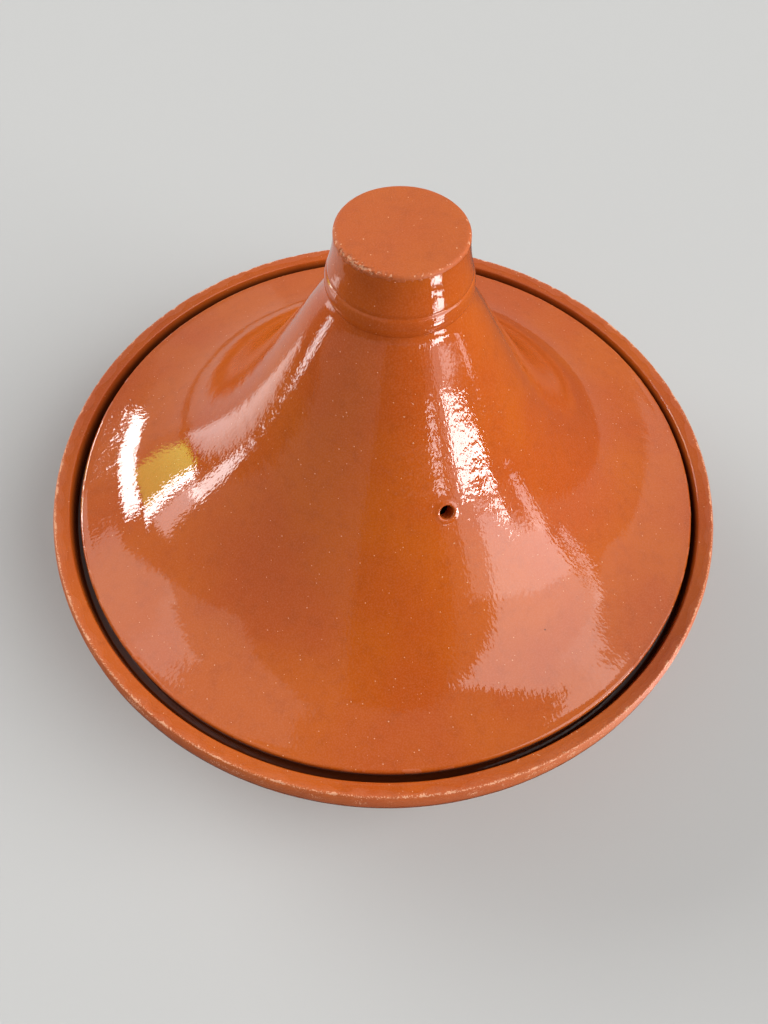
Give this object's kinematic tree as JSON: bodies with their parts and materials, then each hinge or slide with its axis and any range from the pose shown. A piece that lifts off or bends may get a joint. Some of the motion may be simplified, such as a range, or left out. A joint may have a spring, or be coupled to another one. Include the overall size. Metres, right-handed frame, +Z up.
{
  "type": "tagine pot",
  "caption": "Covered clay cooking dish: a shallow glazed bowl with a raised rim, and a bell-shaped lid with a flat-topped knob and a steam hole that lifts off.",
  "frame": {"origin": "centre of the dish's flat foot, on the table", "axes": "+Z up along the throwing axis of the dish and lid; the steam hole in the lid faces -Y"},
  "size_m": [0.3, 0.3, 0.192],
  "materials": {
    "glazed_terracotta": "gloss"
  },
  "bodies": {
    "dish": {"dish": "glazed_terracotta"},
    "lid": {"lid": "glazed_terracotta"}
  },
  "joints": [
    {"name": "lid_lift", "type": "slide", "parent": "dish", "child": "lid", "axis": [0, 0, 1], "range_m": [0, 0.05]}
  ]
}
